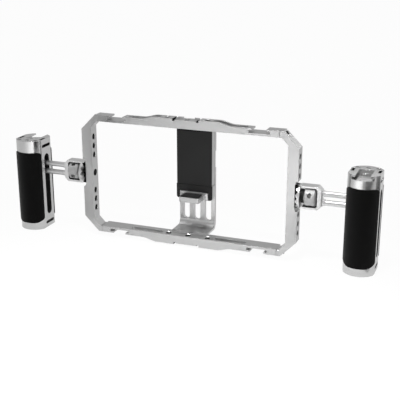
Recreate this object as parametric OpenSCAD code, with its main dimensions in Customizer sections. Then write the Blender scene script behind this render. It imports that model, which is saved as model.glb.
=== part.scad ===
// Smartphone video rig: a ring-shaped cage with a spring clamp for the phone, a toothed arm on each
// side that is locked by a capstan screw, and two slotted handles with rubber grips.
// Millimetres, +Z up, +Y away from the user's front view. Each module is one separate piece.

/* [Piece to draw] */
// Name of the piece, or all

/* [Cage ring] */
// Length of the ring over the outer faces of the side brackets
cage_length = 204; // [190:0.5:220]
// Thickness of the ring at the bars' pads
pad_t = 5.85; // [5:0.05:7]
// Half height of the ring's opening
inner_height = 49.85; // [44:0.05:56]
// Depth of the side brackets, front to back
bracket_depth = 10.5; // [9:0.1:13]
// Width of a bracket's upright
bracket_width = 9.65; // [8:0.05:12]
// Outer corner chamfer of a bracket
corner_chamfer = 14; // [8:0.5:18]
// Inner corner chamfer of a bracket
inner_chamfer = 5.85; // [3:0.05:9]
// Reach of a bracket's legs from its outer face
bracket_reach = 17.2; // [15.5:0.1:20]
// Shadow gap at each seam
seam_gap = 0.25; // [0.1:0.05:0.3]
// Core radius of the quarter-inch threaded holes
thread_r = 2.6; // [2.5:0.05:2.7]
// Mouth chamfer of the threaded holes
mouth_chamfer = 0.6; // [0.3:0.1:0.9]
// Height of the innermost side hole from the middle
side_hole_first = 17; // [16:0.5:19]
// Pitch of the side holes
side_hole_pitch = 8.5; // [7.5:0.1:9]

/* [Bars] */
// Depth of the bars' outer part behind the ring's mid plane
bar_back = 5; // [4:0.1:6]
// Reach of the rear ledge along the bars' inner face
ledge_reach = 8.5; // [7.5:0.1:11]
// Thickness of the rear ledge
ledge_thickness = 2; // [1.6:0.05:2.05]
// Rise of the bars' middle above the pads
crest_rise = 2.7; // [1.6:0.1:4]
// Half length of the raised middle
crest_half = 29; // [26:0.5:34]
// Distance at which the wing is level again
wing_start = 43; // [38:0.5:50]
// Distance of the cold shoes from the bars' ends
shoe_inset = 17.75; // [16.5:0.05:19]
// Opening between a cold shoe's rails
shoe_opening = 12.6; // [12.3:0.05:13]
// Inner width of a cold shoe
shoe_inner = 18.7; // [18.4:0.05:19.2]
// Height of a cold shoe's undercut
shoe_undercut = 2.3; // [2.1:0.05:2.6]
// Thickness of the bars' shoe rails
shoe_rail = 1.45; // [1.1:0.05:1.8]
// Inner end of the long slots
slot_start = 24.2; // [23:0.1:28]
// Wall between a long slot and the cold shoe
slot_wall = 1.55; // [1:0.05:4]
// Width of the long slots
slot_width = 6; // [5:0.1:6.6]
// Distance of the outer threaded holes of a bar from the middle
bar_hole_x = 19; // [17.5:0.1:20]
// Radius of the round centre seat
seat_r = 10.1; // [8:0.1:11]
// Forward offset of the round centre seat
seat_forward = 3.75; // [2:0.05:5]
// Depth of the round centre seat
seat_depth = 1; // [0.6:0.1:1.6]
// Distance of the narrow grooves beside the seat from the middle
groove_x = 11.1; // [10:0.1:13]
// Width of the narrow grooves
groove_width = 2.2; // [1.8:0.1:3]
// Depth of the narrow grooves
groove_depth = 2; // [1.4:0.1:2.4]

/* [Screws] */
// Shank radius of the corner screws
corner_screw_r = 1.2; // [1:0.05:1.5]
// Head radius of the corner screws
corner_head_r = 2.1; // [1.8:0.05:2.2]
// Head height of the corner screws
corner_head_h = 2.2; // [1.5:0.1:2.5]
// Wall under the corner screws' heads
corner_wall = 3.4; // [2.4:0.1:4.2]
// Engagement of the corner screws in the bars
corner_grip = 6.6; // [5:0.1:7]
// Shank radius of the plate screws
plate_screw_r = 1; // [0.8:0.05:1.2]
// Head radius of the plate screws
plate_head_r = 1.55; // [1.4:0.05:1.7]
// Head height of the plate screws
plate_head_h = 1.1; // [0.8:0.1:1.5]
// Distance of the plate screws from the middle
plate_screw_x = 12; // [8:0.1:14]
// Play of a screw shank in its hole
screw_play = 0.05; // [0.02:0.01:0.1]

/* [Phone plate] */
// Half width of the phone plate
plate_half = 17.2; // [16.9:0.1:19]
// Front face of the phone plate behind the ring's mid plane
plate_y = 23.5; // [22:0.1:26]
// Thickness of the upright
upright_t = 3.4; // [2.6:0.1:4.2]
// Thickness of the feet
foot_t = 1.9; // [1.5:0.1:2.4]
// Front edge of the feet
foot_front = 4.6; // [4:0.1:5]
// Inner radius of the bends
bend_r = 5.5; // [4:0.1:7]
// Pitch of the three upright slots
plate_slot_pitch = 10.6; // [9:0.1:11]
// Width of the upright slots
plate_slot_width = 6.1; // [5:0.1:6.4]
// Wall between the upright slots' ends and the bends
plate_slot_wall = 0.05; // [0:0.05:4]
// Lower end of the cross groove in the back
back_groove_low = 9; // [7:0.1:12]
// Upper end of the cross groove in the back
back_groove_high = 24.5; // [20:0.1:27]
// Depth of the cross groove
back_groove_depth = 1.8; // [1:0.1:2.2]

/* [Phone clamp] */
// Depth of the clamp housing with its cover
housing_depth = 7.5; // [7.1:0.1:8]
// Thickness of the black covers on the housing and the carriage
cover_t = 1; // [0.6:0.1:1.2]
// Bonding film behind the covers
cover_film = 0.05; // [0.02:0.01:0.1]
// Half width of the housing
housing_half = 16.8; // [16:0.1:17.2]
// Gap between the housing and the plate's upper foot
housing_drop = 2.15; // [1.5:0.05:4]
// Bottom of the housing
housing_bottom = -6.5; // [-8:0.1:-5]
// Shank radius of the housing screws
housing_screw_r = 1.6; // [1.2:0.05:1.7]
// Head radius of the housing screws
housing_head_r = 3.9; // [3.4:0.1:4.4]
// Head height of the housing screws
housing_head_h = 1.7; // [1.2:0.1:2.2]
// Height of the lower housing screws
housing_screw_low = 2; // [0:0.1:4]
// Height of the upper housing screws
housing_screw_high = 34; // [30:0.1:38]
// Depth of the housing screws in the housing
housing_screw_depth = 4.6; // [3:0.1:5]
// Half width of the carriage
carriage_half = 17.3; // [16.4:0.1:18]
// Height of the carriage
carriage_height = 13.5; // [12:0.1:16]
// Radius of the carriage's lower corners
carriage_corner = 2.2; // [1.5:0.1:5]
// Clearance between parts that slide past each other
slide_gap = 0.3; // [0.2:0.05:0.4]
// Distance of the guide rods from the middle
guide_x = 6; // [5:0.1:6.4]
// Radius of the guide rods
guide_r = 1.3; // [1:0.05:1.5]
// Radial running clearance of the guide rods
guide_play = 0.06; // [0.02:0.01:0.1]
// Upper end of the guide rods' shanks
guide_top = 26; // [24:0.5:30]
// Lower end of the guide rods in the carriage
guide_bottom = -13.4; // [-14:0.1:-12]
// Head radius of the guide rods
guide_head_r = 2.2; // [1.8:0.05:2.3]
// Head height of the guide rods
guide_head_h = 1.4; // [1:0.1:2]
// Radius of the spring bores
spring_bore_r = 2.5; // [2.4:0.05:2.6]
// Floor of the spring bores
spring_floor = -1.5; // [-2.5:0.1:0]
// Mean radius of the springs' coils
spring_r = 1.95; // [1.8:0.05:2]
// Radius of the springs' wire
spring_wire_r = 0.27; // [0.2:0.01:0.3]
// Number of coils of a spring
spring_turns = 8; // [6:1:11]

/* [Jaws] */
// Half width of the lower jaw's back
jaw_back_half = 13.6; // [12.5:0.1:15]
// Thickness of the lower jaw's back
jaw_back_t = 1.4; // [1:0.1:2]
// Top of the lower jaw's back
jaw_back_top = -13.2; // [-14:0.1:-12]
// Half width of the jaw's shelf
jaw_half = 9.7; // [8.5:0.1:10.5]
// Front edge of the jaw's shelf
jaw_front = 2; // [1:0.1:4]
// Top of the jaw's shelf
jaw_top = -14.9; // [-15.2:0.1:-14.6]
// Bottom of the jaw
jaw_bottom = -19.6; // [-20:0.1:-19.2]
// Corner radius of the jaw's shelf
jaw_corner = 1.8; // [1:0.1:3]
// Rim of metal round the jaw's pad
jaw_rim = 1.3; // [0.8:0.1:2]
// Depth of the pad's pocket
pad_pocket = 1.3; // [0.8:0.1:1.8]
// Height the pads stand proud
pad_proud = 0.3; // [0.1:0.05:0.8]
// Thickness of the upper pad
upper_pad_t = 2; // [1.4:0.1:2.2]
// Front edge of the upper pad
upper_pad_front = 6.2; // [5.5:0.1:8]
// Distance of the jaw screws from the middle
jaw_screw_x = 4; // [3:0.1:5]
// Height of the jaw screws
jaw_screw_z = -17.4; // [-17.6:0.1:-17]
// Shank radius of the jaw screws
jaw_screw_r = 0.9; // [0.7:0.05:1]
// Length of the jaw screws in the jaw
jaw_screw_grip = 3.5; // [3:0.1:5]
// Head radius of the jaw screws
jaw_head_r = 1.8; // [1.5:0.05:2]
// Head height of the jaw screws
jaw_head_h = 1.2; // [0.8:0.1:1.6]

/* [Face-toothed joints] */
// Radius of the toothed discs
rosette_r = 10.6; // [9.5:0.1:12]
// Number of teeth round a disc
tooth_count = 12; // [12:12:24]
// Height of a tooth at the rim
tooth_height = 2; // [1.2:0.1:2.2]
// Depth of the arm's tooth middle plane inside the bracket's outer face
tooth_inset = 0.25; // [0:0.05:0.4]
// Axial clearance between the two rings of teeth
tooth_gap = 0.3; // [0.2:0.05:0.35]
// Depth of the recess in a bracket's outer face
recess_depth = 2; // [1.5:0.1:2.5]
// Free height above and below the teeth in the recess
recess_margin = 2.6; // [2:0.1:2.8]
// Depth of the toothed insert's seat below the recess
ring_seat = 0.6; // [0.4:0.1:1]
// Seat gap above and below the toothed insert
ring_gap = 0.05; // [0.02:0.01:0.1]

/* [Arms] */
// Length of the arm's head outside the bracket
head_length = 20; // [18.5:0.1:23]
// Thickness of the head's rails above and below the window
head_rail = 1.8; // [1.4:0.1:2.6]
// Depth of the head, front to back
head_depth = 8.5; // [7.6:0.1:10]
// Chamfer of the head's outer corners
head_chamfer = 3.2; // [2:0.1:4]
// Thickness of the arm's disc outside the bracket
disc_t = 2.4; // [2:0.1:3]
// Wall at the head's outer end
head_wall = 3.6; // [2.8:0.1:4]
// Gap above and below the drum in the window
drum_gap = 0.4; // [0.3:0.05:0.8]
// Corner radius of the window
window_corner = 2; // [1:0.1:3]
// Half thickness of the web where the bars leave the head
neck_half = 2.1; // [1.6:0.1:2.3]
// Radius of the hollow where the bars leave the head
neck_fillet = 2.6; // [1.5:0.1:3]
// Radius of the twin bars
rod_r = 2.4; // [2.1:0.05:2.5]
// Centre distance of the twin bars
rod_pitch = 7.8; // [7:0.1:8.2]
// Clearance of a twin bar in its block
rod_play = 0.03; // [0.01:0.01:0.08]

/* [Lock screws] */
// Radius of the capstan drum
drum_r = 8; // [7.4:0.05:8]
// Free space in the window beside the drum
drum_free = 0.85; // [0.6:0.05:1.6]
// Edge chamfer of the drum
drum_chamfer = 1.1; // [0.4:0.1:1.4]
// Radius of the crossed tommy-bar holes
tommy_r = 2.1; // [1.6:0.05:2.3]
// Angle of the right drum's hole above the front
right_tommy_angle = 22; // [0:1:90]
// Angle of the left drum's hole above the front
left_tommy_angle = 58; // [0:1:90]
// Radius of the shank
shank_r = 3.1; // [3:0.02:3.14]
// Radial clearance of the shank
shank_play = 0.08; // [0.03:0.01:0.1]
// Reach of the shank inside the bracket's outer face
shank_reach = 6; // [5.6:0.1:9]
// Radius of the thrust washer
washer_r = 6; // [5:0.1:7]
// Thickness of the thrust washer
washer_t = 2.75; // [2.4:0.05:3]
// End play on each side of the thrust washer
washer_play = 0.05; // [0.03:0.01:0.1]

/* [Handles] */
// Distance of the handles' middle planes from the brackets' outer faces
handle_reach = 55.2; // [48:0.1:62]
// Top of the handles above the arm axis
handle_rise = 27.2; // [25:0.1:30]
// Bottom of the handles below the arm axis
handle_drop = 59.5; // [59:0.1:70]
// Half width over the flat sides
handle_half = 13.4; // [13:0.1:15]
// Half depth of the flat sides
flat_half = 8; // [7.8:0.1:9]
// Half depth over the rounded front and back
crown_top = 16.8; // [16:0.1:18]
// Width of the long through slot
handle_slot = 8.2; // [7.6:0.1:8.6]
// Distance of the through slot from the handle's top
slot_drop = 14.2; // [12.5:0.1:15]
// Distance of the through slot from the handle's bottom
slot_foot = 13; // [11:0.1:18]
// Width of the inner channel for the rod block
channel_width = 12.4; // [11:0.1:13]
// Reach of the inner channel along the arm
channel_reach = 9.2; // [8:0.1:11]
// Width of the strap slots
strap_width = 14; // [12:0.1:15]
// Height of the strap slots
strap_height = 2.8; // [2:0.1:3]
// Distance of the upper strap slots from the handle's top
strap_drop = 6.2; // [6:0.1:7]
// Distance of the lower strap slots from the handle's bottom
strap_foot = 5.5; // [4.5:0.1:7]
// Depth of the handles' cold shoes
top_shoe_depth = 3.7; // [3.4:0.1:4]
// Closed end of the handles' cold shoes
top_shoe_stop = 5; // [4:0.1:6]
// Rounding at the bottom rim of a handle
foot_chamfer = 1; // [0.5:0.1:2]
// Width of the three slots behind the shoe
vent_width = 3.8; // [3.2:0.1:4]
// Length of the three slots behind the shoe
vent_length = 2.2; // [1.8:0.1:2.4]
// Pitch of the three slots
vent_pitch = 8.6; // [7.6:0.1:8.8]
// Position of the three slots behind the handle's middle
vent_y = 10.2; // [9.4:0.1:10.4]
// Depth of the slots in the handle's top
vent_depth = 6; // [4:0.1:6.4]
// Distance of the side slots from the handle's sides
side_vent_inset = 2.35; // [2.2:0.05:2.4]
// Width of the side slots
side_vent_width = 2.5; // [2:0.1:2.6]
// Length of the side slots
side_vent_length = 8; // [5:0.1:9]

/* [Rod blocks] */
// Side clearance of a rod block in its channel
block_gap = 0.3; // [0.2:0.05:0.4]
// Height of a rod block
block_height = 17; // [15:0.1:18]
// Depth of the bars in the block, past the handle's middle plane
rod_depth = 2; // [0:0.1:2.5]
// Shank radius of the block screws
block_screw_r = 1.15; // [0.9:0.05:1.3]
// Head radius of the block screws
block_head_r = 2.1; // [1.8:0.05:2.4]
// Head height of the block screws
block_head_h = 1.8; // [1.2:0.1:2.2]
// Engagement of the block screws in the bars
block_screw_grip = 7; // [5:0.1:10]

/* [Grips] */
// Height the grips stand proud of the handle
grip_proud = 0.7; // [0.4:0.1:1]
// Depth of the pockets for the grips
grip_depth = 1.2; // [0.8:0.1:1.6]
// Seat gap round the grips
grip_gap = 0.05; // [0.02:0.01:0.1]
// Where the grips begin, from the handle's middle towards front and back
grip_start = 9.2; // [8.6:0.1:10]
// Distance of the grips from the handle's top
grip_drop = 11.2; // [10:0.1:13]
// Corner radius at the upper edge
grip_corner = 4.5; // [3:0.1:7]
// Distance of the grips from the handle's bottom
grip_foot = 6.9; // [6.4:0.1:11]
// Corner radius at the lower edge
grip_round = 7.6; // [5:0.1:10]

/* [Hidden] */
$fn = 64;
eps = 0.01;
half_length = cage_length / 2;
pad_height = inner_height + pad_t;
crest_height = pad_height + crest_rise;
seam_x = half_length - bracket_reach;
corner_seat_x = seam_x + corner_wall;
inner_x = half_length - bracket_width;
recess_x = half_length - recess_depth;
recess_half = rosette_r + recess_margin;
tooth_plane = half_length - tooth_inset;
corner_z = (pad_height + inner_height) / 2;
bar_end = seam_x - seam_gap;
shoe_x = bar_end - shoe_inset;
slot_end = shoe_x - shoe_inner / 2 - slot_wall;
bar_front = bracket_depth / 2;
shoe_floor = pad_height - shoe_rail - shoe_undercut;
plate_screw_y = (bar_back + ledge_reach) / 2 + 0.05;
foot_in = inner_height - foot_t;
bend_z = foot_in - bend_r;
plate_slot_half = bend_z - plate_slot_wall;
housing_front = plate_y - housing_depth;
housing_top = foot_in - housing_drop;
plate_back = plate_y + upright_t;
housing_hole_end = plate_y - housing_screw_depth - 0.3;
carriage_top = housing_bottom - slide_gap;
carriage_bottom = carriage_top - carriage_height;
carriage_back = plate_y - slide_gap;
cover_back = housing_front + cover_t;
block_front = cover_back + cover_film;
guide_y = (block_front + plate_y) / 2;
jaw_fillet = jaw_back_half - jaw_half;
jaw_back_front = housing_front - jaw_back_t;
frame_tooth_plane = tooth_plane - tooth_gap;
ring_seat_x = recess_x - ring_seat;
head_end = half_length + head_length;
window_start = half_length + disc_t;
window_end = head_end - head_wall;
window_half = drum_r + drum_gap;
head_half = window_half + head_rail;
washer_x = window_start + washer_play;
drum_x = washer_x + washer_t + washer_play;
drum_width = window_end - drum_free - drum_x;
shank_end = half_length - shank_reach;
shank_bore_r = shank_r + shank_play;
crown_rise = crown_top - flat_half;
crown_r = (handle_half * handle_half + crown_rise * crown_rise) / (2 * crown_rise);
crown_y = crown_top - crown_r;
handle_x = half_length + handle_reach;
handle_slot_top = handle_rise - slot_drop;
handle_slot_bottom = slot_foot - handle_drop;
strap_high = handle_rise - strap_drop;
strap_low = strap_foot - handle_drop;
top_shoe_floor = handle_rise - top_shoe_depth;
side_vent_x = handle_half - side_vent_inset;
grip_top = handle_rise - grip_drop;
grip_bottom = grip_foot - handle_drop;
neck_reach = head_half - head_chamfer - 0.02;
neck_round_z = rod_pitch / 2 + rod_r + neck_fillet - 0.3;
fork_half = rod_pitch / 2 - rod_r;
block_width = channel_width - 2 * block_gap;
block_reach = channel_reach - 2 * block_gap;
rod_end = handle_x + rod_depth;
block_face = block_reach / 2;
lift = handle_drop;
shift_y = (crown_top + grip_proud - plate_back - housing_head_h) / 2;
metal = [0.78, 0.78, 0.79];
steel = [0.62, 0.62, 0.64];
black = [0.1, 0.1, 0.11];
rubber = [0.14, 0.14, 0.15];

// Puts a shape drawn about the cage's middle into the rig's frame; side -1 turns it to the left end
module place(side = 1) {
    translate([0, shift_y, lift])
        rotate([0, 0, side < 0 ? 180 : 0])
            children();
}

// Rectangle from corner a to corner b with rounded corners
module round_rect(a, b, r) {
    translate([a[0] + r, a[1]])
        square([b[0] - a[0] - 2 * r, b[1] - a[1]]);
    translate([a[0], a[1] + r])
        square([b[0] - a[0], b[1] - a[1] - 2 * r]);
    for (x = [a[0] + r, b[0] - r])
        for (y = [a[1] + r, b[1] - r])
            translate([x, y])
                circle(r = r);
}

// Round-ended slot of a width between two points on the 2-D X axis
module slot_2d(x0, x1, width) {
    translate([x0 + width / 2, -width / 2])
        square([x1 - x0 - width, width]);
    for (x = [x0 + width / 2, x1 - width / 2])
        translate([x, 0])
            circle(d = width);
}

// Draws a 2-D X-Z outline as a plate from y0 to y1
module along_y(y0, y1) {
    translate([0, y1, 0])
        rotate([90, 0, 0])
            linear_extrude(height = y1 - y0)
                children();
}

// Cylinder along X from x0 to x1
module x_round(r, x0, x1) {
    translate([x0, 0, 0])
        rotate([0, 90, 0])
            cylinder(r = r, h = x1 - x0);
}

// Cylinder along Y from y0 to y1
module y_round(r, y0, y1) {
    translate([0, y0, 0])
        rotate([-90, 0, 0])
            cylinder(r = r, h = y1 - y0);
}

// Threaded hole's core along Z with a chamfered mouth at each end
module tapped_hole(length) {
    translate([0, 0, -eps])
        cylinder(r = thread_r, h = length + 2 * eps);
    translate([0, 0, -eps])
        cylinder(r1 = thread_r + mouth_chamfer, r2 = thread_r, h = mouth_chamfer);
    translate([0, 0, length - mouth_chamfer + eps])
        cylinder(r1 = thread_r, r2 = thread_r + mouth_chamfer, h = mouth_chamfer);
}

// Ring of radial teeth whose flanks all pass through the axis; the teeth lie about the plane x = mean
// and the solid runs from them to the plane x = base
module face_teeth(mean, base) {
    n = 2 * tooth_count;
    reach = rosette_r + 1;
    swing = tooth_height / 2 * reach / rosette_r;
    rim = [for (k = [0 : n - 1])
        [mean + (k % 2 == 0 ? swing : -swing), reach * cos(360 * k / n), reach * sin(360 * k / n)]];
    back = [for (k = [0 : n - 1]) [base, reach * cos(360 * k / n), reach * sin(360 * k / n)]];
    flanks = [for (k = [0 : n - 1]) [0, 1 + (k + 1) % n, 1 + k]];
    sides = [for (k = [0 : n - 1]) [1 + k, 1 + (k + 1) % n, 1 + n + (k + 1) % n, 1 + n + k]];
    cap = [[for (k = [0 : n - 1]) 1 + n + k]];
    faces = concat(flanks, sides, cap);
    turned = [for (f = faces) [for (i = [len(f) - 1 : -1 : 0]) f[i]]];
    polyhedron(concat([[mean, 0, 0]], rim, back), base < mean ? faces : turned, convexity = 6);
}

// Right-hand side bracket, drawn about the cage's middle
module bracket_shape() {
    difference() {
        along_y(-bracket_depth / 2, bracket_depth / 2)
            polygon([
                [seam_x, inner_height], [inner_x - inner_chamfer, inner_height],
                [inner_x, inner_height - inner_chamfer], [inner_x, inner_chamfer - inner_height],
                [inner_x - inner_chamfer, -inner_height], [seam_x, -inner_height],
                [seam_x, -pad_height], [half_length - corner_chamfer, -pad_height],
                [half_length, corner_chamfer - pad_height],
                [half_length, pad_height - corner_chamfer],
                [half_length - corner_chamfer, pad_height], [seam_x, pad_height]
            ]);
        translate([recess_x, -bracket_depth, -recess_half])
            cube([recess_depth + 1, 2 * bracket_depth, 2 * recess_half]);
        translate([ring_seat_x, -bracket_depth, -rosette_r - ring_gap])
            cube([ring_seat + 1, 2 * bracket_depth, 2 * (rosette_r + ring_gap)]);
        x_round(shank_bore_r, inner_x - 1, half_length + 1);
        for (k = [0 : 2])
            for (s = [-1, 1])
                translate([inner_x, 0, s * (side_hole_first + k * side_hole_pitch)])
                    rotate([0, 90, 0])
                        tapped_hole(bracket_width);
        for (s = [-1, 1])
            translate([0, 0, s * corner_z]) {
                x_round(corner_screw_r + screw_play, seam_x - 1, half_length);
                x_round(corner_head_r + screw_play, corner_seat_x, half_length);
            }
    }
}

// Toothed insert let into the bracket's recess, cut to the bracket's depth
module tooth_ring_shape() {
    difference() {
        intersection() {
            face_teeth(frame_tooth_plane, ring_seat_x);
            x_round(rosette_r, ring_seat_x - 1, half_length + 5);
            translate([ring_seat_x - 1, -bracket_depth / 2, -recess_half])
                cube([10, bracket_depth, 2 * recess_half]);
        }
        x_round(shank_bore_r, ring_seat_x - 1, half_length + 5);
    }
}

// Top bar, drawn about the cage's middle
module bar_shape() {
    steps = 10;
    ramp = [for (i = [0 : steps])
        [wing_start + (crest_half - wing_start) * i / steps,
            pad_height + (crest_height - pad_height) * (1 - cos(180 * i / steps)) / 2]];
    right = concat([[bar_end, inner_height], [bar_end, pad_height]], ramp);
    left = [for (i = [len(right) - 1 : -1 : 0]) [-right[i][0], right[i][1]]];
    difference() {
        union() {
            along_y(-bar_front, bar_back)
                polygon(concat(right, left));
            translate([-bar_end, bar_back - 1, inner_height])
                cube([2 * bar_end, ledge_reach - bar_back + 1, ledge_thickness]);
        }
        for (s = [-1, 1]) {
            translate([s * shoe_x - shoe_opening / 2, -20, shoe_floor])
                cube([shoe_opening, 40, 20]);
            translate([s * shoe_x - shoe_inner / 2, -20, shoe_floor])
                cube([shoe_inner, 40, shoe_undercut]);
            translate([s * groove_x - groove_width / 2, -20, crest_height - groove_depth])
                cube([groove_width, 40, 10]);
            translate([s * bar_hole_x, 0, inner_height])
                tapped_hole(crest_height - inner_height);
            translate([s * plate_screw_x, plate_screw_y, inner_height - 1])
                cylinder(r = plate_screw_r + screw_play, h = ledge_thickness + 2);
        }
        translate([0, 0, inner_height - 1])
            linear_extrude(height = 20) {
                slot_2d(slot_start, slot_end, slot_width);
                slot_2d(-slot_end, -slot_start, slot_width);
            }
        translate([0, -seat_forward, crest_height - seat_depth])
            cylinder(r = seat_r, h = 10);
        translate([0, 0, inner_height])
            tapped_hole(crest_height - seat_depth - inner_height);
        translate([0, 0, corner_z]) {
            x_round(corner_screw_r + screw_play, bar_end - corner_grip - 0.5, bar_end + 1);
            x_round(corner_screw_r + screw_play, -bar_end - 1, corner_grip + 0.5 - bar_end);
        }
    }
}

module left_side_bracket() {
    color(metal)
        place(-1)
            bracket_shape();
}

module right_side_bracket() {
    color(metal)
        place(1)
            bracket_shape();
}

module left_tooth_ring() {
    color(black)
        place(-1)
            tooth_ring_shape();
}

module right_tooth_ring() {
    color(black)
        place(1)
            tooth_ring_shape();
}

module top_bar() {
    color(metal)
        place()
            bar_shape();
}

module bottom_bar() {
    color(metal)
        place()
            mirror([0, 0, 1])
                bar_shape();
}

// Four corner screws with socketed heads
module corner_screws() {
    color(steel)
        place()
            for (side = [-1, 1])
                for (s = [-1, 1])
                    rotate([0, 0, side < 0 ? 180 : 0])
                        translate([0, 0, s * corner_z])
                            difference() {
                                union() {
                                    x_round(corner_screw_r, bar_end - corner_grip, corner_seat_x + eps);
                                    x_round(corner_head_r, corner_seat_x, corner_seat_x + corner_head_h);
                                }
                                translate([corner_seat_x + corner_head_h - 1.2, 0, 0])
                                    rotate([0, 90, 0])
                                        cylinder(r = corner_head_r * 0.52, h = 2, $fn = 6);
                            }
}

// Cross-section of the phone plate in Y and Z
module plate_profile() {
    translate([plate_y, -bend_z])
        square([upright_t, 2 * bend_z]);
    for (m = [0, 1])
        mirror([0, m]) {
            translate([foot_front, foot_in])
                square([plate_y - bend_r - foot_front + eps, foot_t]);
            translate([plate_y - bend_r, bend_z])
                difference() {
                    intersection() {
                        circle(r = bend_r + upright_t);
                        square([bend_r + upright_t, bend_r + foot_t]);
                    }
                    circle(r = bend_r);
                }
        }
}

// C-shaped plate behind the ring with three upright slots
module phone_plate() {
    color(metal)
        place()
            difference() {
                rotate([90, 0, 90])
                    linear_extrude(height = 2 * plate_half, center = true)
                        plate_profile();
                for (i = [-1 : 1])
                    translate([i * plate_slot_pitch, plate_y - 1, 0])
                        rotate([-90, 0, 0])
                            linear_extrude(height = upright_t + 2)
                                rotate(90)
                                    slot_2d(-plate_slot_half, plate_slot_half, plate_slot_width);
                translate([-plate_half - 1, plate_back - back_groove_depth, back_groove_low])
                    cube([2 * plate_half + 2, 5, back_groove_high - back_groove_low]);
                for (s = [-1, 1])
                    translate([s * plate_screw_x, plate_screw_y, 0])
                        cylinder(r = plate_screw_r + screw_play, h = 2 * inner_height + 2, center = true);
            }
}

// Four screws through the bars' ledges into the plate's feet
module plate_screws() {
    color(steel)
        place()
            for (m = [0, 1])
                mirror([0, 0, m])
                    for (s = [-1, 1])
                        translate([s * plate_screw_x, plate_screw_y, foot_in + 0.2]) {
                            cylinder(r = plate_screw_r, h = foot_t + ledge_thickness - 0.2 + eps);
                            translate([0, 0, foot_t + ledge_thickness - 0.2])
                                cylinder(r = plate_head_r, h = plate_head_h);
                        }
}

// Fixed metal housing of the clamp with the two spring bores
module clamp_housing() {
    color(metal)
        place()
            difference() {
                translate([-housing_half, block_front, housing_bottom])
                    cube([2 * housing_half, plate_y - block_front, housing_top - housing_bottom]);
                rotate([90, 0, 90])
                    linear_extrude(height = 4 * housing_half, center = true)
                        translate([plate_y - bend_r, housing_top - bend_r])
                            difference() {
                                square([bend_r + 1, bend_r + 1]);
                                circle(r = bend_r);
                            }
                for (s = [-1, 1])
                    translate([s * guide_x, guide_y, 0]) {
                        translate([0, 0, spring_floor])
                            cylinder(r = spring_bore_r, h = 100);
                        translate([0, 0, housing_bottom - 1])
                            cylinder(r = guide_r + guide_play, h = 20);
                    }
                for (s = [-1, 1])
                    for (z = [housing_screw_low, housing_screw_high])
                        translate([s * plate_slot_pitch, 0, z])
                            y_round(housing_screw_r + screw_play, housing_hole_end, plate_y + 1);
            }
}

// Black cover bonded to the housing's front
module housing_cover() {
    color(black)
        place()
            along_y(housing_front, cover_back)
                translate([-housing_half, housing_bottom])
                    square([2 * housing_half, housing_top - housing_bottom]);
}

// Four screws from behind, through the plate's outer slots into the housing
module housing_screws() {
    color(steel)
        place()
            for (s = [-1, 1])
                for (z = [housing_screw_low, housing_screw_high])
                    translate([s * plate_slot_pitch, 0, z])
                        difference() {
                            union() {
                                y_round(housing_screw_r, plate_y - housing_screw_depth, plate_back + eps);
                                y_round(housing_head_r, plate_back, plate_back + housing_head_h);
                            }
                            translate([0, plate_back + housing_head_h - 1, 0])
                                rotate([-90, 0, 0])
                                    cylinder(r = housing_head_r * 0.4, h = 2, $fn = 6);
                        }
}

// Front outline of the carriage with its lower corners rounded
module carriage_outline() {
    difference() {
        translate([-carriage_half, carriage_bottom])
            square([2 * carriage_half, carriage_height]);
        for (m = [0, 1])
            mirror([m, 0])
                translate([carriage_half, carriage_bottom] + carriage_corner * [-1, 1])
                    difference() {
                        translate([0, -carriage_corner - 1])
                            square([carriage_corner + 1, carriage_corner + 1]);
                        circle(r = carriage_corner);
                    }
    }
}

// Holes for the jaw screws through the carriage and its cover
module jaw_screw_holes() {
    for (s = [-1, 1])
        translate([s * jaw_screw_x, 0, jaw_screw_z]) {
            y_round(jaw_screw_r + screw_play, 0, 40);
            y_round(jaw_head_r + screw_play, carriage_back - jaw_head_h - 0.1, 40);
        }
}

// Sliding metal carriage below the housing
module clamp_carriage() {
    color(metal)
        place()
            difference() {
                along_y(block_front, carriage_back)
                    carriage_outline();
                for (s = [-1, 1])
                    translate([s * guide_x, guide_y, guide_bottom - 0.2])
                        cylinder(r = guide_r + screw_play, h = 30);
                jaw_screw_holes();
            }
}

// Black cover bonded to the carriage's front
module carriage_cover() {
    color(black)
        place()
            difference() {
                along_y(housing_front, cover_back)
                    carriage_outline();
                jaw_screw_holes();
            }
}

// Two headed guide rods that carry the carriage
module guide_rods() {
    color(steel)
        place()
            for (s = [-1, 1])
                translate([s * guide_x, guide_y, guide_bottom]) {
                    cylinder(r = guide_r, h = guide_top - guide_bottom + eps);
                    translate([0, 0, guide_top - guide_bottom])
                        cylinder(r = guide_head_r, h = guide_head_h);
                }
}

// Round wire wound as a helix about the Z axis
module coil(r, wire, z0, z1, turns) {
    per_turn = 10;
    sides = 5;
    n = per_turn * turns;
    points = [for (i = [0 : n]) for (j = [0 : sides - 1])
        let (a = 360 * i / per_turn, b = 360 * j / sides, q = r + wire * cos(b))
            [q * cos(a), q * sin(a), z0 + (z1 - z0) * i / n + wire * sin(b)]];
    skin = [for (i = [0 : n - 1]) for (j = [0 : sides - 1])
        [i * sides + j, (i + 1) * sides + j, (i + 1) * sides + (j + 1) % sides, i * sides + (j + 1) % sides]];
    split = [for (f = skin) each [[f[0], f[1], f[2]], [f[0], f[2], f[3]]]];
    first = [for (j = [0 : sides - 1]) j];
    last = [for (j = [sides - 1 : -1 : 0]) n * sides + j];
    polyhedron(points, concat(split, [first, last]), convexity = 10);
}

// Two return springs between the housing's webs and the guide rods' heads
module clamp_springs() {
    color(steel)
        place()
            for (s = [-1, 1])
                translate([s * guide_x, guide_y, 0])
                    coil(spring_r, spring_wire_r, spring_floor + spring_wire_r,
                        guide_top - spring_wire_r, spring_turns);
}

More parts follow.
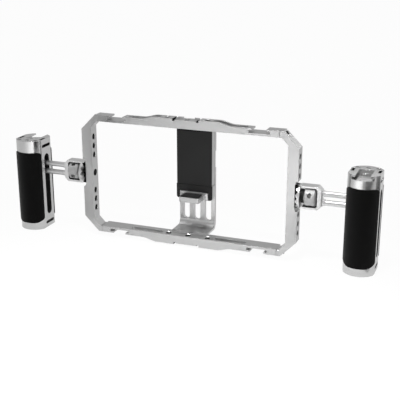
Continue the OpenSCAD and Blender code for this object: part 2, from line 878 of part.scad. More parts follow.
// Metal lower jaw: a back on the carriage that sweeps into a narrower shelf
module lower_jaw() {
    color(metal)
        place()
            difference() {
                union() {
                    translate([0, 0, jaw_bottom])
                        linear_extrude(height = jaw_top - jaw_bottom) {
                            round_rect([-jaw_half, jaw_front], [jaw_half, housing_front], jaw_corner);
                            difference() {
                                translate([-jaw_back_half, jaw_back_front - jaw_fillet])
                                    square([2 * jaw_back_half, jaw_fillet + jaw_back_t]);
                                for (s = [-1, 1])
                                    translate([s * jaw_back_half, jaw_back_front - jaw_fillet])
                                        circle(r = jaw_fillet);
                            }
                        }
                    translate([-jaw_back_half, jaw_back_front, jaw_bottom])
                        cube([2 * jaw_back_half, jaw_back_t, jaw_back_top - jaw_bottom]);
                }
                translate([0, 0, jaw_top - pad_pocket])
                    linear_extrude(height = 10)
                        round_rect([jaw_rim - jaw_half, jaw_front + jaw_rim],
                            [jaw_half - jaw_rim, jaw_back_front], jaw_corner - 0.6);
                for (s = [-1, 1])
                    translate([s * jaw_screw_x, 0, jaw_screw_z])
                        y_round(jaw_screw_r + screw_play, housing_front - jaw_screw_grip - 0.2, 40);
            }
}

// Two screws through the carriage into the jaw
module jaw_screws() {
    color(steel)
        place()
            for (s = [-1, 1])
                translate([s * jaw_screw_x, 0, jaw_screw_z]) {
                    y_round(jaw_screw_r, housing_front - jaw_screw_grip, carriage_back - 0.2);
                    y_round(jaw_head_r, carriage_back - jaw_head_h - 0.05, carriage_back - 0.1);
                }
}

// Rubber pad let into the lower jaw's shelf
module lower_jaw_pad() {
    color(rubber)
        place()
            translate([0, 0, jaw_top - pad_pocket])
                linear_extrude(height = pad_pocket + pad_proud)
                    round_rect([jaw_rim + grip_gap - jaw_half, jaw_front + jaw_rim + grip_gap],
                        [jaw_half - jaw_rim - grip_gap, jaw_back_front - grip_gap], jaw_corner - 0.6);
}

// Rubber pad under the plate's upper foot
module upper_jaw_pad() {
    color(rubber)
        place()
            translate([0, 0, foot_in - upper_pad_t])
                linear_extrude(height = upper_pad_t)
                    round_rect([-jaw_half, upper_pad_front], [jaw_half, housing_front - 0.2], jaw_corner);
}

// Right-hand arm: toothed disc, windowed head and twin bars in one piece
module arm_shape() {
    difference() {
        union() {
            intersection() {
                face_teeth(tooth_plane, window_start);
                x_round(rosette_r, half_length - 6, window_start + 5);
            }
            along_y(-head_depth / 2, head_depth / 2)
                polygon([
                    [window_start - 1, -head_half], [head_end - head_chamfer, -head_half],
                    [head_end, head_chamfer - head_half], [head_end, head_half - head_chamfer],
                    [head_end - head_chamfer, head_half], [window_start - 1, head_half]
                ]);
            for (s = [-1, 1])
                translate([0, 0, s * rod_pitch / 2])
                    x_round(rod_r, window_end + 0.6, rod_end);
            along_y(-neck_half, neck_half)
                difference() {
                    translate([head_end - 1, -neck_reach])
                        square([neck_fillet + 1, 2 * neck_reach]);
                    for (s = [-1, 1])
                        translate([head_end + neck_fillet, s * neck_round_z])
                            circle(r = neck_fillet);
                }
        }
        along_y(-20, 20)
            round_rect([window_start, -window_half], [window_end, window_half], window_corner);
        x_round(shank_bore_r, half_length - 8, window_start + 1);
        along_y(-20, 20) {
            translate([head_end + fork_half + 0.4, 0])
                circle(r = fork_half);
            translate([head_end + fork_half + 0.4, -fork_half])
                square([neck_fillet, 2 * fork_half]);
        }
        for (s = [-1, 1])
            translate([0, 0, s * rod_pitch / 2])
                x_round(block_screw_r + screw_play, rod_end - block_screw_grip - 0.5, rod_end + 1);
    }
}

// Capstan drum with crossed tommy-bar holes and its threaded shank, in one piece
module lock_screw_shape(angle) {
    difference() {
        union() {
            x_round(drum_r, drum_x + drum_chamfer, drum_x + drum_width - drum_chamfer);
            translate([drum_x, 0, 0])
                rotate([0, 90, 0])
                    cylinder(r1 = drum_r - drum_chamfer, r2 = drum_r, h = drum_chamfer);
            translate([drum_x + drum_width - drum_chamfer, 0, 0])
                rotate([0, 90, 0])
                    cylinder(r1 = drum_r, r2 = drum_r - drum_chamfer, h = drum_chamfer);
            x_round(shank_r, shank_end, drum_x + eps);
        }
        for (a = [angle, angle + 90])
            translate([drum_x + drum_width / 2, 0, 0])
                rotate([90 - a, 0, 0])
                    cylinder(r = tommy_r, h = 3 * drum_r, center = true);
    }
}

// Thrust washer between drum and head
module lock_washer_shape() {
    difference() {
        x_round(washer_r, washer_x, washer_x + washer_t);
        x_round(shank_bore_r, washer_x - 1, washer_x + washer_t + 1);
    }
}

// Block on the ends of the twin bars, inside the handle's channel
module rod_block_shape() {
    difference() {
        translate([handle_x - block_reach / 2, -block_width / 2, -block_height / 2])
            cube([block_reach, block_width, block_height]);
        for (s = [-1, 1])
            translate([0, 0, s * rod_pitch / 2]) {
                x_round(rod_r + rod_play, handle_x - 30, rod_end + 0.1);
                x_round(block_screw_r + screw_play, handle_x - 30, handle_x + 30);
            }
    }
}

// Two screws from outboard through the block into the bars
module block_screws_shape() {
    for (s = [-1, 1])
        translate([0, 0, s * rod_pitch / 2])
            difference() {
                union() {
                    x_round(block_screw_r, rod_end - block_screw_grip, handle_x + block_face + eps);
                    x_round(block_head_r, handle_x + block_face, handle_x + block_face + block_head_h);
                }
                translate([handle_x + block_face + block_head_h - 1, 0, 0])
                    rotate([0, 90, 0])
                        cylinder(r = block_head_r * 0.5, h = 2, $fn = 6);
            }
}

// Handle's cross-section in X and Y, flat sides between two arcs, moved outward by d
module handle_section(d) {
    intersection() {
        square([2 * (handle_half + d), 4 * crown_top], center = true);
        for (y = [crown_y, -crown_y])
            translate([0, y])
                circle(r = crown_r + d, $fn = 128);
    }
}

// Front outline of a grip in X and Z, moved outward by d
module grip_outline(d) {
    reach = handle_half + grip_proud + 0.2 + d;
    high = grip_top + d;
    low = grip_bottom - d;
    difference() {
        translate([-reach, low])
            square([2 * reach, high - low]);
        for (m = [0, 1])
            mirror([m, 0]) {
                translate([reach - grip_corner, high - grip_corner])
                    difference() {
                        square([grip_corner + 1, grip_corner + 1]);
                        circle(r = grip_corner);
                    }
                translate([reach - grip_round, low + grip_round])
                    difference() {
                        translate([0, -grip_round - 1])
                            square([grip_round + 1, grip_round + 1]);
                        circle(r = grip_round);
                    }
            }
    }
}

// Grip panel on the handle's back (f = 1) or front (f = -1); gap widens it into its pocket
module grip_shape(f, gap) {
    intersection() {
        translate([0, 0, -handle_drop - 1])
            linear_extrude(height = handle_drop + handle_rise + 2)
                intersection() {
                    difference() {
                        handle_section(grip_proud + gap);
                        handle_section(-grip_depth - gap);
                    }
                    translate([-30, f > 0 ? grip_start - gap : -30])
                        square([60, 30 - grip_start + gap]);
                }
        along_y(-30, 30)
            grip_outline(gap);
    }
}

// Right-hand handle, drawn about the arm's axis and the handle's own middle plane
module handle_shape() {
    height = handle_rise + handle_drop;
    difference() {
        translate([0, 0, -handle_drop])
            linear_extrude(height = height)
                handle_section(0);
        translate([-30, 0, 0])
            rotate([90, 0, 90])
                linear_extrude(height = 60) {
                    rotate(90)
                        slot_2d(handle_slot_bottom, handle_slot_top, handle_slot);
                    for (z = [strap_high, strap_low])
                        translate([0, z])
                            slot_2d(-strap_width / 2, strap_width / 2, strap_height);
                }
        translate([-channel_reach / 2, -channel_width / 2, -handle_drop - 1])
            cube([channel_reach, channel_width, handle_drop + 1 + handle_slot_top]);
        translate([-shoe_opening / 2, -30, top_shoe_floor])
            cube([shoe_opening, 30 + top_shoe_stop, 20]);
        translate([-shoe_inner / 2, -30, top_shoe_floor])
            cube([shoe_inner, 30 + top_shoe_stop, shoe_undercut]);
        translate([0, 0, handle_rise - vent_depth])
            linear_extrude(height = vent_depth + 1) {
                for (i = [-1 : 1])
                    translate([i * vent_pitch - vent_width / 2, vent_y - vent_length / 2])
                        square([vent_width, vent_length]);
                for (s = [-1, 1])
                    translate([s * side_vent_x - side_vent_width / 2, 2 - side_vent_length / 2])
                        square([side_vent_width, side_vent_length]);
            }
        for (f = [-1, 1])
            grip_shape(f, grip_gap);
        for (s = [-1, 1])
            translate([s * handle_half, 0, -handle_drop])
                rotate([0, 45, 0])
                    cube([foot_chamfer * sqrt(2), 60, foot_chamfer * sqrt(2)], center = true);
    }
}

module left_arm() {
    color(metal)
        place(-1)
            arm_shape();
}

module right_arm() {
    color(metal)
        place(1)
            arm_shape();
}

module left_lock_washer() {
    color(black)
        place(-1)
            lock_washer_shape();
}

module right_lock_washer() {
    color(black)
        place(1)
            lock_washer_shape();
}

module left_lock_screw() {
    color(steel)
        place(-1)
            lock_screw_shape(-left_tommy_angle);
}

module right_lock_screw() {
    color(steel)
        place(1)
            lock_screw_shape(right_tommy_angle);
}

module left_rod_block() {
    color(metal)
        place(-1)
            rod_block_shape();
}

module right_rod_block() {
    color(metal)
        place(1)
            rod_block_shape();
}

module left_block_screws() {
    color(steel)
        place(-1)
            block_screws_shape();
}

module right_block_screws() {
    color(steel)
        place(1)
            block_screws_shape();
}

module left_handle_body() {
    color(metal)
        place(-1)
            translate([handle_x, 0, 0])
                handle_shape();
}

module right_handle_body() {
    color(metal)
        place(1)
            translate([handle_x, 0, 0])
                handle_shape();
}

module left_front_grip() {
    color(rubber)
        place(-1)
            translate([handle_x, 0, 0])
                grip_shape(1, 0);
}

module left_back_grip() {
    color(rubber)
        place(-1)
            translate([handle_x, 0, 0])
                grip_shape(-1, 0);
}

module right_front_grip() {
    color(rubber)
        place(1)
            translate([handle_x, 0, 0])
                grip_shape(-1, 0);
}

module right_back_grip() {
    color(rubber)
        place(1)
            translate([handle_x, 0, 0])
                grip_shape(1, 0);
}

left_side_bracket();
right_side_bracket();
left_tooth_ring();
right_tooth_ring();
top_bar();
bottom_bar();
corner_screws();
phone_plate();
plate_screws();
clamp_housing();
housing_cover();
housing_screws();
clamp_carriage();
carriage_cover();
guide_rods();
clamp_springs();
lower_jaw();
jaw_screws();
lower_jaw_pad();
upper_jaw_pad();
left_arm();
left_lock_washer();
left_lock_screw();
left_rod_block();
left_block_screws();
left_handle_body();
left_front_grip();
left_back_grip();
right_arm();
right_lock_washer();
right_lock_screw();
right_rod_block();
right_block_screws();
right_handle_body();
right_front_grip();
right_back_grip();
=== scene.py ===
"""Smartphone video rig: cage, sprung phone clamp and two swinging, sliding handles, dressed for a studio picture."""
import math

import bpy
import numpy as np
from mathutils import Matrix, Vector


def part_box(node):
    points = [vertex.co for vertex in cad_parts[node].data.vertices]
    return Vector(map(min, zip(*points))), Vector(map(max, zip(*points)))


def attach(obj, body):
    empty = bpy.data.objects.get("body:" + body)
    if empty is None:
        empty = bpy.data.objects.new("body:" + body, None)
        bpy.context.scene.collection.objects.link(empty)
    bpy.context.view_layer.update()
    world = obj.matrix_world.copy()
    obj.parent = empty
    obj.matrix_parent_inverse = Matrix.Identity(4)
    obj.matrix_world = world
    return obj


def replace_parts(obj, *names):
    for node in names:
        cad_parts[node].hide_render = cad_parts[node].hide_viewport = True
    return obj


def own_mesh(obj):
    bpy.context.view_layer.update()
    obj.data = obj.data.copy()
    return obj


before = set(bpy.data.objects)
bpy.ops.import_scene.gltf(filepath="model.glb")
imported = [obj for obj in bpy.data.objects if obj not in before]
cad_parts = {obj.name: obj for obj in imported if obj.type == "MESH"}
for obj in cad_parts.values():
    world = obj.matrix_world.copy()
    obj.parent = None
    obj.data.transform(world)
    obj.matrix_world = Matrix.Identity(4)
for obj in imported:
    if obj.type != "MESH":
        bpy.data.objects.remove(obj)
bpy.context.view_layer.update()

MM = 0.001


def linear(colour):
    """An sRGB hex colour as linear RGBA: each channel goes through the sRGB curve."""
    srgb = np.array([int(colour[i:i + 2], 16) for i in (1, 3, 5)]) / 255.0
    low = srgb / 12.92
    high = ((srgb + 0.055) / 1.055) ** 2.4
    return (*np.where(srgb <= 0.04045, low, high).tolist(), 1.0)


def put(tree, kind, sockets=None, **settings):
    """Adds a node: settings are its properties, sockets its inputs, each a value or another node's output."""
    node = tree.nodes.new(kind)
    for name, value in settings.items():
        setattr(node, name, value)
    for name, value in (sockets or {}).items():
        if isinstance(value, bpy.types.NodeSocket):
            tree.links.new(value, node.inputs[name])
        else:
            node.inputs[name].default_value = value
    return node


def surface(name, colour, **sockets):
    """A material with one Principled shader, its colour and its plain sockets set; gives (material, tree, shader)."""
    made = bpy.data.materials.new(name)
    made.use_nodes = True
    tree = made.node_tree
    shader = tree.nodes["Principled BSDF"]
    shader.inputs["Base Color"].default_value = linear(colour)
    for socket, value in sockets.items():
        shader.inputs[socket.replace("_", " ").title().replace("Ior", "IOR")].default_value = value
    return made, tree, shader


def rolled_edges(tree, radius, samples=6):
    """A node whose normal turns round sharp edges as if they had this radius; gives its Normal output."""
    return put(tree, "ShaderNodeBevel", {"Radius": radius}, samples=samples).outputs["Normal"]


def grain(tree, size, detail):
    """Even noise whose spots are about size across, fixed to the object; gives its Fac output."""
    place = put(tree, "ShaderNodeTexCoord")
    return put(tree, "ShaderNodeTexNoise", {"Vector": place.outputs["Object"], "Scale": 1 / size,
                                            "Detail": detail}).outputs["Fac"]


def shape_normal(tree, shader, normal):
    """Lets a normal, from rolled edges or a bump, steer the shader."""
    tree.links.new(normal, shader.inputs["Normal"])


# Clear-anodised aluminium, milled and bead-blasted: an even pale grey with a soft, broad reflection and edges that the
# blasting has rolled over by about 0.4 mm. The pits are about 0.1 mm across; they are drawn at 0.5 mm, as finer ones
# would not show.
blasted_aluminium, tree, shader = surface("clear anodised aluminium, bead-blasted", "#C1C1C1",
                                          metallic=1.0, roughness=0.38)
pits = put(tree, "ShaderNodeBump", {"Height": grain(tree, 0.5 * MM, 2.0), "Strength": 0.12, "Distance": 0.04 * MM,
                                    "Normal": rolled_edges(tree, 0.4 * MM)})
shape_normal(tree, shader, pits.outputs["Normal"])

# Clear-anodised aluminium, polished before its anodising: the handles' bare ends, which throw sharper lights.
polished_aluminium, tree, shader = surface("clear anodised aluminium, polished", "#C7C7C7",
                                           metallic=1.0, roughness=0.22)
shape_normal(tree, shader, rolled_edges(tree, 0.5 * MM))

# The same aluminium where it was tapped, smoother than the blasted faces. Its dark colour is painted shade: the holes
# look nearly black in the photograph and only their ridges catch a little light.
tapped_aluminium_painted_shade, tree, shader = surface("tapped aluminium, darkened as painted shade", "#3D3D3D", metallic=1.0, roughness=0.25)

# Clear-anodised aluminium sheet, satin: the bent phone plate, whose foot half mirrors the legs above it.
satin_aluminium, tree, shader = surface("clear anodised aluminium, satin sheet", "#C4C4C4",
                                        metallic=1.0, roughness=0.29)
shape_normal(tree, shader, rolled_edges(tree, 0.3 * MM))

# Clear-anodised aluminium, cast: the lower jaw, whose edges are rounded by about 0.9 mm and catch the light.
cast_aluminium, tree, shader = surface("clear anodised aluminium, cast", "#BCBCBC", metallic=1.0, roughness=0.36)
shape_normal(tree, shader, rolled_edges(tree, 0.9 * MM, samples=8))

# Clear-anodised aluminium, tumbled bright: the arms, nearly white beside the blasted cage.
bright_aluminium, tree, shader = surface("clear anodised aluminium, tumbled", "#D9D9D9", metallic=1.0, roughness=0.36)
shape_normal(tree, shader, rolled_edges(tree, 0.4 * MM))

# Nickel-plated steel turned on a lathe: the capstan drums, duller than the cage. The tool's feed leaves rings about
# 0.08 mm apart round the X axis; they are drawn 0.35 mm apart so that they show.
turned_steel, tree, shader = surface("nickel-plated steel, turned", "#C4C4C4", metallic=1.0, roughness=0.6)
place = put(tree, "ShaderNodeTexCoord")
feed = put(tree, "ShaderNodeTexWave", {"Vector": place.outputs["Object"], "Scale": math.tau / 20 / (0.35 * MM)},
           wave_type="BANDS", bands_direction="X")
rings = put(tree, "ShaderNodeBump", {"Height": feed.outputs["Fac"], "Strength": 0.1, "Distance": 0.03 * MM})
shape_normal(tree, shader, rings.outputs["Normal"])

# Stainless screw steel, cold-headed: a little darker and smoother than the aluminium round it.
screw_steel, tree, shader = surface("stainless steel, cold-headed", "#9C9C9C", metallic=1.0, roughness=0.3)

# Hardened steel with a black oxide skin: the screws sunk in the cage's corners, dark with a faint sheen. On the toothed
# inserts the same black is painted shade, the dark gap between an arm's teeth and its bracket.
black_oxide_and_painted_shade, tree, shader = surface("black-oxide steel and painted shade", "#1F1F1F", metallic=1.0, roughness=0.45)

# Drawn spring wire: dark and smooth.
spring_wire, tree, shader = surface("spring steel, drawn", "#787878", metallic=1.0, roughness=0.28)

# Glass-filled nylon moulded in a spark-eroded tool: matt black with a fine grain of about 0.3 mm, drawn at 0.6 mm.
# The same black on the thin sheets in the slots, windows and grooves is painted shade.
black_nylon_and_painted_shade, tree, shader = surface("moulded black nylon and painted shade", "#151515", roughness=0.55, specular_ior_level=0.3)
spark = put(tree, "ShaderNodeBump", {"Height": grain(tree, 0.6 * MM, 3.0), "Strength": 0.2, "Distance": 0.05 * MM})
shape_normal(tree, shader, spark.outputs["Normal"])

# Moulded silicone rubber: near black, dull, with a soft grey bloom towards its outline and a skin-like grain of about
# 0.5 mm, drawn at 0.8 mm.
grip_rubber, tree, shader = surface("black silicone rubber, moulded", "#030303", roughness=0.7, specular_ior_level=0.08,
                                    sheen_weight=0.18, sheen_roughness=0.42)
skin = put(tree, "ShaderNodeBump", {"Height": grain(tree, 0.8 * MM, 3.0), "Strength": 0.35, "Distance": 0.08 * MM})
shape_normal(tree, shader, skin.outputs["Normal"])

FINISHES = {
    blasted_aluminium: ["left_side_bracket", "right_side_bracket", "top_bar", "bottom_bar",
                        "left_rod_block", "right_rod_block", "clamp_housing", "clamp_carriage"],
    bright_aluminium: ["left_arm", "right_arm"],
    polished_aluminium: ["left_handle_body", "right_handle_body"],
    satin_aluminium: ["phone_plate"],
    cast_aluminium: ["lower_jaw"],
    turned_steel: ["left_lock_screw", "right_lock_screw"],
    # The tooth rings' black is painted shade.
    black_oxide_and_painted_shade: ["left_tooth_ring", "right_tooth_ring", "corner_screws"],
    screw_steel: ["plate_screws", "housing_screws", "jaw_screws", "left_block_screws", "right_block_screws",
                  "guide_rods"],
    spring_wire: ["clamp_springs"],
    black_nylon_and_painted_shade: ["housing_cover", "carriage_cover", "left_lock_washer", "right_lock_washer"],
    grip_rubber: ["lower_jaw_pad", "upper_jaw_pad", "left_front_grip", "right_front_grip", "left_back_grip",
                  "right_back_grip"],
}
for finish, names in FINISHES.items():
    for name in names:
        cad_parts[name].data.materials.clear()
        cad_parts[name].data.materials.append(finish)


def grid_mesh(name, points, wrap_u=False, wrap_v=False):
    """A mesh of quads on a grid of points, shape (u, v, 3); a wrapped direction joins its last row to its first. A
    tube, wrapped in v alone, gets a flat face at both ends."""
    nu, nv = points.shape[:2]
    i, j = np.meshgrid(np.arange(nu if wrap_u else nu - 1), np.arange(nv if wrap_v else nv - 1), indexing="ij")
    corners = [(i, j), (i + 1, j), (i + 1, j + 1), (i, j + 1)]
    quads = np.stack([(a % nu) * nv + b % nv for a, b in corners], axis=-1).reshape(-1, 4)
    ends = [list(range(nv)), list(range(nu * nv - 1, nu * nv - nv - 1, -1))] if wrap_v and not wrap_u else []
    mesh = bpy.data.meshes.new(name)
    mesh.from_pydata(points.reshape(-1, 3).tolist(), [], quads.tolist() + ends)
    mesh.update()
    return mesh


def add(name, mesh, finish, smooth=False):
    """Puts a mesh into the scene as a piece with this finish."""
    if smooth:
        mesh.polygons.foreach_set("use_smooth", np.ones(len(mesh.polygons), dtype=bool))
    mesh.materials.append(finish)
    piece = bpy.data.objects.new(name, mesh)
    bpy.context.scene.collection.objects.link(piece)
    return piece


def size_mm(node):
    """The low and the high corner of a CAD node's box, in mm."""
    return (np.array(corner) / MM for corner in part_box(node))


def shade_sheet(name, body, axis, centre, size, corner, reach):
    """A black sheet on the wall of a slot, painted shade for the slot's dark inside. Its path is a rounded rectangle
    about
    centre in the plane square to axis: with t going round once, the point is the corner arc's middle for the quarter
    that t lies in plus corner times (cos t, sin t). A thin rectangular profile, WALL deep and as long as reach along
    the axis, follows that path and closes on itself."""
    around = 64
    t = (np.arange(around) + 0.5) / around * math.tau
    arc = np.stack([np.cos(t), np.sin(t)], axis=-1)
    path = np.sign(arc) * (np.array(size) / 2 - corner) + corner * arc
    inward = np.array([GAP, GAP, GAP + WALL, GAP + WALL])
    along = np.array([reach[0], reach[1], reach[1], reach[0]])
    flat = path[:, None, :] - inward[None, :, None] * arc[:, None, :]
    depth = np.broadcast_to(along[None, :, None], (around, len(along), 1))
    points = np.roll(np.concatenate([flat, depth], axis=-1), 1 if axis == "X" else 0, axis=-1) + np.array(centre)
    piece = add(name, grid_mesh(name, points * MM, wrap_u=True, wrap_v=True), black_nylon_and_painted_shade)
    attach(piece, body)


# Black sheets in the handles' long slots and in the small slots in their tops: painted shade for their dark insides,
# which look black in the photograph.
# These lengths, and those of the threads and springs, are in mm.
WALL = 0.25
THIN_WALL = 0.15
GAP = 0.03
SIDES = (("left", -1), ("right", 1))
SLOT_WIDTH = 8.2
SLOT_FROM_TOP = 14.2
SLOT_FROM_BOTTOM = 13.0
CHANNEL_HALF = 4.6
VENT_DEPTH = 3.0
VENT_CORNER = 0.3
EDGE = 0.1
BACK_VENTS = [((x, 10.2), (3.8, 2.2)) for x in (-8.6, 0.0, 8.6)]
SIDE_VENTS = [((x, 2.0), (2.5, 8.0)) for x in (-11.05, 11.05)]
for side, turn in SIDES:
    low, high = size_mm(side + "_handle_body")
    middle = (low + high) / 2
    slot_low = low[2] + SLOT_FROM_BOTTOM
    slot_high = high[2] - SLOT_FROM_TOP
    centre = (middle[0], middle[1], (slot_low + slot_high) / 2)
    size = (SLOT_WIDTH, slot_high - slot_low)
    outer = high[0] - middle[0] - EDGE
    for face, reach in (("inner", (-outer, -CHANNEL_HALF)), ("outer", (CHANNEL_HALF, outer))):
        shade_sheet(side + "_slot_shade_sheet_" + face, side + "_handle", "X", centre, size, SLOT_WIDTH / 2, reach)
    for number, ((x, y), size) in enumerate(BACK_VENTS + SIDE_VENTS):
        centre = (middle[0] + turn * x, middle[1] + turn * y, high[2])
        reach = (-VENT_DEPTH, -GAP)
        shade_sheet("%s_vent_shade_sheet_%d" % (side, number), side + "_handle", "Z", centre, size, VENT_CORNER, reach)


def window_shade_sheet(name, body, turn, middle):
    """A black sheet on the wall of a head's window on three sides, painted shade round the drum. Its path runs out
    along the lower edge, round both corners with t from -90 to 90 degrees (the corner's middle plus WINDOW_CORNER times
    (cos t, sin t)) and back along the upper edge. A thin rectangular profile follows it, as deep as the head."""
    t = np.linspace(-math.pi / 2, math.pi / 2, 41)
    arc = np.stack([np.cos(t), np.sin(t)], axis=-1)
    middles = np.array([WINDOW_END - WINDOW_CORNER, 0]) + np.array([0, WINDOW_HALF - WINDOW_CORNER]) * np.sign(arc)
    bend = middles + WINDOW_CORNER * arc
    path = np.concatenate([[[WINDOW_START, -WINDOW_HALF]], bend, [[WINDOW_START, WINDOW_HALF]]])
    arc = np.concatenate([arc[:1], arc, arc[-1:]])
    inward = np.array([GAP, GAP, GAP + THIN_WALL, GAP + THIN_WALL])
    along = np.array([-HEAD_HALF, HEAD_HALF, HEAD_HALF, -HEAD_HALF])
    flat = path[:, None, :] - inward[None, :, None] * arc[:, None, :]
    points = np.stack([turn * flat[..., 0], np.broadcast_to(along, flat.shape[:2]), flat[..., 1]], axis=-1)
    points = points[::-turn] + np.array([0, middle[1], middle[2]])
    piece = add(name, grid_mesh(name, points * MM, wrap_v=True), black_nylon_and_painted_shade)
    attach(piece, body)


def groove_shade_sheet(name, side, turn, middle):
    """A black sheet on the floor and walls of a narrow groove across a bar, painted shade in the groove. Its path is
    the groove's cut: down the wall next to the round seat, across the floor and up the other wall. A thin rectangular
    profile follows it, nearly as long as the bar is deep."""
    near, far = GROOVE_WALLS
    path = np.array([[near, SEAT_FLOOR], [near, GROOVE_FLOOR], [far, GROOVE_FLOOR], [far, GROOVE_TOP]])
    outward = np.array([[-1, 0], [-1, -1], [1, -1], [1, 0]])
    inward = np.array([GAP, GAP, GAP + THIN_WALL, GAP + THIN_WALL])
    along = np.array([BAR_FRONT, BAR_BACK, BAR_BACK, BAR_FRONT])
    flat = path[:, None, :] - inward[None, :, None] * outward[:, None, :]
    points = np.stack([side * flat[..., 0], np.broadcast_to(along, flat.shape[:2]), turn * flat[..., 1]], axis=-1)
    points = points[::-side * turn] + np.array([0, middle[1], middle[2]])
    piece = add(name, grid_mesh(name, points * MM, wrap_v=True), black_nylon_and_painted_shade)
    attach(piece, "cage")


def thread(name, axis, centre, reach, bore):
    """The ridges of a tapped hole, on a grid of the turn t and the way along the axis. The inner radius is bore less
    SLEEVE and less RIDGE times a triangle wave of (way / PITCH - t / full turn), so the ridge climbs one PITCH a turn;
    it fades out at both ends. Two rows at the bore behind it close the sleeve."""
    around = 36
    way = np.linspace(reach[0], reach[1], int((reach[1] - reach[0]) / PITCH * 8))
    t = np.linspace(math.tau, 0, around, endpoint=False)[:, None]
    phase = way / PITCH - t / math.tau
    ridge = 1 - 2 * np.abs(phase - np.round(phase))
    fade = np.clip(np.minimum(way - reach[0], reach[1] - way) / PITCH, 0, 1)
    radius = np.concatenate([bore - SLEEVE - RIDGE * ridge * fade, np.full((around, 2), bore)], axis=1)
    along = np.broadcast_to(np.concatenate([way, reach[::-1]]), radius.shape)
    points = np.stack([radius * np.cos(t), radius * np.sin(t), along], axis=-1)
    points = np.roll(points, 1 if axis == "X" else 0, axis=-1) + np.array(centre)
    # The sleeve's dark colour paints the shade deep in the hole.
    piece = add(name, grid_mesh(name, points * MM, wrap_u=True, wrap_v=True), tapped_aluminium_painted_shade, smooth=True)
    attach(piece, "cage")


# Quarter-inch threads, 20 to the inch, in the cage's tapped holes: six in each side bracket, three in each bar. The
# lock screw's hole in a bracket shows the same thread in front of the screw's end.
# Their dark colour is painted shade in the holes.
PITCH = 1.27
RIDGE = 0.4
SLEEVE = 0.05
BORE = 2.58
LOCK_BORE = 3.15
LOCK_THREAD = (6.1, 9.5)
MOUTH = 0.6
BRACKET_WALL = 9.65
BAR_INNER = 49.85
FIRST_HOLE = 17.0
HOLE_STEP = 8.5
SIDE_HOLES = [turn * (FIRST_HOLE + HOLE_STEP * k) for turn in (-1, 1) for k in range(3)]
BAR_HOLES = [(-19.0, 8.55), (0.0, 7.55), (19.0, 8.55)]
# The window of a head, from the cage's middle, and the narrow grooves beside a bar's round seat.
WINDOW_START, WINDOW_END = 104.6, 118.4
WINDOW_HALF = 8.4
WINDOW_CORNER = 2.0
HEAD_HALF = 4.2
GROOVE_WALLS = (10.0, 12.2)
GROOVE_FLOOR, SEAT_FLOOR, GROOVE_TOP = 56.4, 57.35, 58.3
BAR_FRONT, BAR_BACK = -4.9, 4.7
cage_low, cage_high = size_mm("left_side_bracket")
middle = (cage_low + cage_high) / 2
for side, turn in SIDES:
    low, high = size_mm(side + "_side_bracket")
    outer = high[0] if turn > 0 else low[0]
    ends = sorted([outer - turn * MOUTH, outer - turn * (BRACKET_WALL - MOUTH)])
    for number, height in enumerate(SIDE_HOLES):
        thread("%s_thread_%d" % (side, number), "X", (0, middle[1], middle[2] + height), ends, BORE)
    ends = sorted(outer - turn * depth for depth in LOCK_THREAD)
    thread(side + "_lock_thread", "X", (0, middle[1], middle[2]), ends, LOCK_BORE)
    # Painted shade round the drum in the head's window.
    window_shade_sheet(side + "_window_shade_sheet", side + "_arm", turn, middle)
for bar, turn in (("top", 1), ("bottom", -1)):
    for number, (x, depth) in enumerate(BAR_HOLES):
        ends = sorted([turn * (BAR_INNER + MOUTH), turn * (BAR_INNER + depth - MOUTH)])
        thread("%s_thread_%d" % (bar, number), "Z", (x, middle[1], middle[2]), ends, BORE)
    # Painted shade in the grooves beside each bar's seat.
    for place, side in SIDES:
        groove_shade_sheet("%s_%s_groove_lining" % (bar, place), side, turn, middle)


def spring(name, turn):
    """A coil spring on a grid of the way along the wire and the turn b round it. Along the wire the angle a grows by
    TURNS full turns and the height evenly; the point is (q cos a, q sin a, height + WIRE sin b) with q = COIL + WIRE
    cos b."""
    low, high = size_mm("clamp_springs")
    a = np.linspace(0, TURNS * math.tau, TURNS * 20 + 1)[:, None]
    b = np.linspace(0, math.tau, 10, endpoint=False)
    q = COIL + WIRE * np.cos(b)
    height = low[2] + WIRE + (high[2] - low[2] - 2 * WIRE) * a / a[-1] + WIRE * np.sin(b)
    points = np.stack([q * np.cos(a), q * np.sin(a), height], axis=-1)
    points[..., :2] += (turn * (high[0] - COIL - WIRE), (low[1] + high[1]) / 2)
    piece = add(name, grid_mesh(name, points * MM, wrap_v=True), spring_wire, smooth=True)
    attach(piece, "cage")
    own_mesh(piece)
    return piece


# The clamp's return springs, wound again as coils of wire in the box of the CAD springs, which they replace.
COIL = 1.95
WIRE = 0.27
TURNS = 8
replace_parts(spring("left_clamp_spring", -1), "clamp_springs")
spring("right_clamp_spring", 1)

# The white sweep: a floor that turns up all round into a low wall. The camera sees it nearly white; reflections see it
# half as that white and half as the lamps light it, and it keeps the rig's soft shadow.
WHITE_TO_CAMERA = 0.95
WHITE_IN_MIRRORS = 0.5
FLAT = 2.0
RISE = 0.6
UNDER_PART = 0.4 * MM
white_sweep, tree, shader = surface("white studio sweep, painted", "#EDEDED", roughness=0.9)
path = put(tree, "ShaderNodeLightPath")
mirrored = put(tree, "ShaderNodeMath", {0: path.outputs["Is Glossy Ray"], 1: path.outputs["Is Transmission Ray"]},
               operation="ADD", use_clamp=True)
mirrored = put(tree, "ShaderNodeMath", {0: mirrored.outputs[0], 1: WHITE_IN_MIRRORS}, operation="MULTIPLY")
share = put(tree, "ShaderNodeMath", {0: path.outputs["Is Camera Ray"], 1: WHITE_TO_CAMERA, 2: mirrored.outputs[0]},
            operation="MULTIPLY_ADD", use_clamp=True)
white = put(tree, "ShaderNodeEmission", {"Color": (1, 1, 1, 1), "Strength": 1.0})
blend = put(tree, "ShaderNodeMixShader", {0: share.outputs[0], 1: shader.outputs[0], 2: white.outputs[0]})
tree.links.new(blend.outputs[0], tree.nodes["Material Output"].inputs["Surface"])


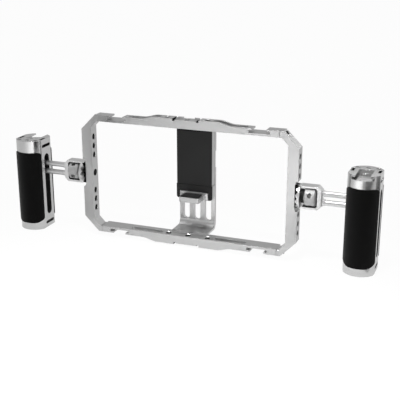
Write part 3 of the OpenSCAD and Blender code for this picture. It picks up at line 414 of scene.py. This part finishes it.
def sweep_surface():
    """Radius and height, turned round the Z axis: flat out to FLAT, then a quarter circle of RISE upwards."""
    bend = np.linspace(0, np.pi / 2, 16)
    radius = np.concatenate([np.linspace(0.001, FLAT, 12)[:-1], FLAT + RISE * np.sin(bend)])
    height = np.concatenate([np.zeros(11), RISE * (1 - np.cos(bend))]) - UNDER_PART
    turn = np.linspace(0, math.tau, 96, endpoint=False)[:, None]
    return np.stack([radius * np.cos(turn), radius * np.sin(turn), height + 0 * turn], axis=-1)


sweep = add("white sweep", grid_mesh("white sweep", sweep_surface(), wrap_u=True), white_sweep, smooth=True)

# Cards lie on the floor, a small flag stands before each handle and a lit card behind the right one. Only reflections
# see them; they give the round metal its dark bands and the right handle its light top. Corners are in metres; one
# with two numbers lies on the floor.
dark_card, tree, shader = surface("dark studio card", "#3A3A3A", roughness=0.9)
grey_card, tree, shader = surface("grey studio card", "#B0B0B0", roughness=0.9)
white_card, tree, shader = surface("white studio card, lit", "#F0F0F0", roughness=0.9, emission_strength=0.8)
ON_FLOOR = 1 * MM
CARDS = {("front card", dark_card): [(0.15, -0.32), (0.07, -0.07), (0.36, -0.32), (0.36, -0.07)],
         ("side card", dark_card): [(0.32, -0.04), (0.32, 0.12), (0.5, -0.04), (0.5, 0.12)],
         ("left card", grey_card): [(-0.18, -0.22), (-0.18, -0.04), (-0.02, -0.22), (-0.02, -0.04)],
         ("right foot card", grey_card): [(0.172, -0.07), (0.172, -0.022), (0.22, -0.07), (0.22, -0.022)],
         ("left flag", dark_card): [(-0.112, -0.062, 0.055), (-0.112, -0.062, 0.106), (-0.078, -0.042, 0.055),
                                    (-0.078, -0.042, 0.106)],
         ("right flag", grey_card): [(0.176, -0.08, 0.062), (0.176, -0.08, 0.108), (0.235, -0.045, 0.062),
                                     (0.235, -0.045, 0.108)],
         ("back card", white_card): [(0.115, 0.075, 0.119), (0.115, 0.075, 0.165), (0.19, 0.075, 0.119),
                                     (0.19, 0.075, 0.165)]}
for (name, finish), corners in CARDS.items():
    sheet = np.array([(*corner, ON_FLOOR)[:3] for corner in corners]).reshape(2, 2, 3)
    card = add(name, grid_mesh(name, sheet), finish)
    card.visible_camera = False
    card.visible_diffuse = False
    card.visible_shadow = False

world = bpy.data.worlds.new("studio")
bpy.context.scene.world = world
world.use_nodes = True
world.node_tree.nodes["Background"].inputs["Color"].default_value = (1, 1, 1, 1)
world.node_tree.nodes["Background"].inputs["Strength"].default_value = 0.5


def softbox(name, place, aim, width, height, power, spread=180):
    """A rectangular lamp at place, turned to face aim, whose beam opens to spread degrees."""
    lamp = bpy.data.lights.new(name, "AREA")
    lamp.shape = "RECTANGLE"
    lamp.size = width
    lamp.size_y = height
    lamp.energy = power
    lamp.spread = math.radians(spread)
    made = bpy.data.objects.new(name, lamp)
    bpy.context.scene.collection.objects.link(made)
    made.location = place
    made.rotation_euler = (Vector(aim) - Vector(place)).to_track_quat("-Z", "Y").to_euler()


softbox("front pool", (0.04, -0.35, 0.8), (0.04, -0.27, 0), 0.16, 0.16, 1.35, 45)
softbox("front right softbox", (0.75, -0.95, 0.5), (0.02, 0, 0.06), 1.2, 0.8, 2.4)
softbox("back softbox", (0.7, 1.7, 0.9), (0, 0, 0.06), 1.3, 0.7, 1.3)
softbox("overhead softbox", (-0.3, 0.2, 1.4), (0, 0, 0.06), 1.0, 0.8, 2.0)

# The photograph's view: 21.1 degrees round to the right, 18.3 degrees down.
lens = bpy.data.cameras.new("photo view")
lens.sensor_width = 36.0
lens.sensor_fit = "HORIZONTAL"
lens.lens = 75.49
lens.clip_start = 0.01
lens.clip_end = 50.0
camera = bpy.data.objects.new("photo view", lens)
bpy.context.scene.collection.objects.link(camera)
camera.location = (0.267741, -0.667567, 0.278676)
camera.rotation_euler = (math.radians(71.75), 0.0, math.radians(21.14))
bpy.context.scene.camera = camera
bpy.context.scene.view_settings.view_transform = "Standard"
